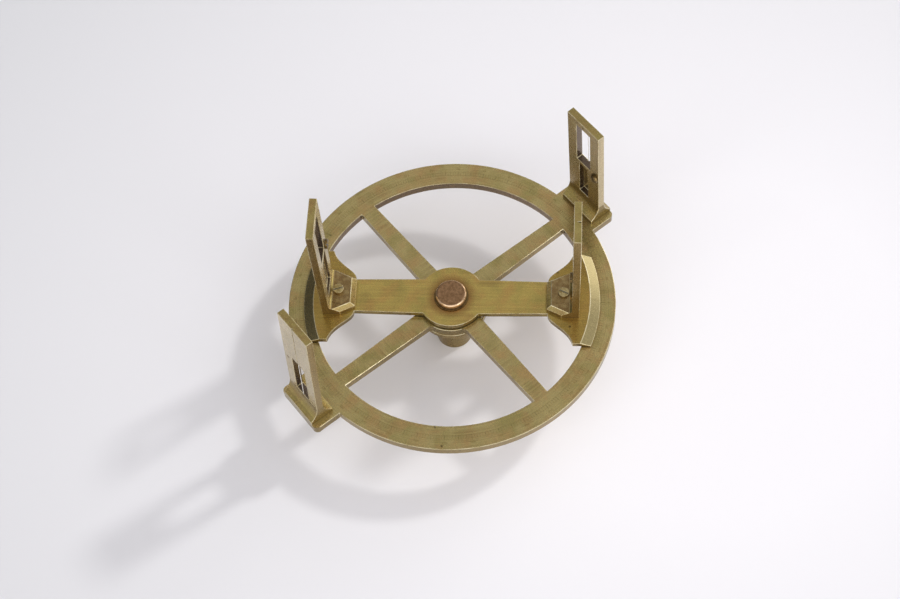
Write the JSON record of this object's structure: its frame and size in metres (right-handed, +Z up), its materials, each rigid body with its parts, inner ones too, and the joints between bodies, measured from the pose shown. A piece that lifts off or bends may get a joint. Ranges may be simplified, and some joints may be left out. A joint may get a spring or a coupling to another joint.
{
  "type": "surveying circle",
  "caption": "Brass surveying circle with spokes, fixed slit-and-window sights, and a turning alidade with sights of its own, on a staff socket.",
  "frame": {"origin": "middle of the staff socket's foot, on the vertical axis", "axes": "+Z up along the pivot; X along the alidade at rest; the fixed sights lie 41 degrees from X towards Y"},
  "size_m": [0.2, 0.2, 0.1338],
  "materials": {
    "aged_brass": "aged satin with brown patina",
    "screw_brass": "worn, turned",
    "pivot_bronze": "turned and worn bronze",
    "dark_bronze": "dark patina",
    "steel": "dull",
    "hair_wire": "dark drawn wire"
  },
  "bodies": {
    "stand": {"circle": "aged_brass", "staff_socket": "aged_brass", "flange_screws": "dark_bronze", "pivot": "pivot_bronze", "pivot_nut": "dark_bronze", "rub_washer": "steel", "head_washer": "dark_bronze", "rear_sight": "aged_brass", "rear_sight_screws": "dark_bronze", "rear_steady_pins": "screw_brass", "rear_hair": "hair_wire", "rear_hair_pegs": "screw_brass", "rear_hair_screw": "screw_brass", "front_sight": "aged_brass", "front_sight_screws": "dark_bronze", "front_steady_pins": "screw_brass", "front_hair": "hair_wire", "front_hair_pegs": "screw_brass", "front_hair_screw": "screw_brass"},
    "alidade_turning": {"alidade": "aged_brass", "alidade_bush": "screw_brass", "right_sight": "aged_brass", "right_foot_screw": "screw_brass", "right_steady_pins": "screw_brass", "right_hair": "hair_wire", "right_hair_pegs": "screw_brass", "right_hair_screw": "screw_brass", "left_sight": "aged_brass", "left_foot_screw": "screw_brass", "left_steady_pins": "screw_brass", "left_hair": "hair_wire", "left_hair_pegs": "screw_brass", "left_hair_screw": "screw_brass"}
  },
  "joints": [
    {"name": "alidade_turn", "type": "hinge", "parent": "stand", "child": "alidade_turning", "pos_m": [0, 0, 0.0446], "axis": [0, 0, 1], "continuous": true}
  ]
}
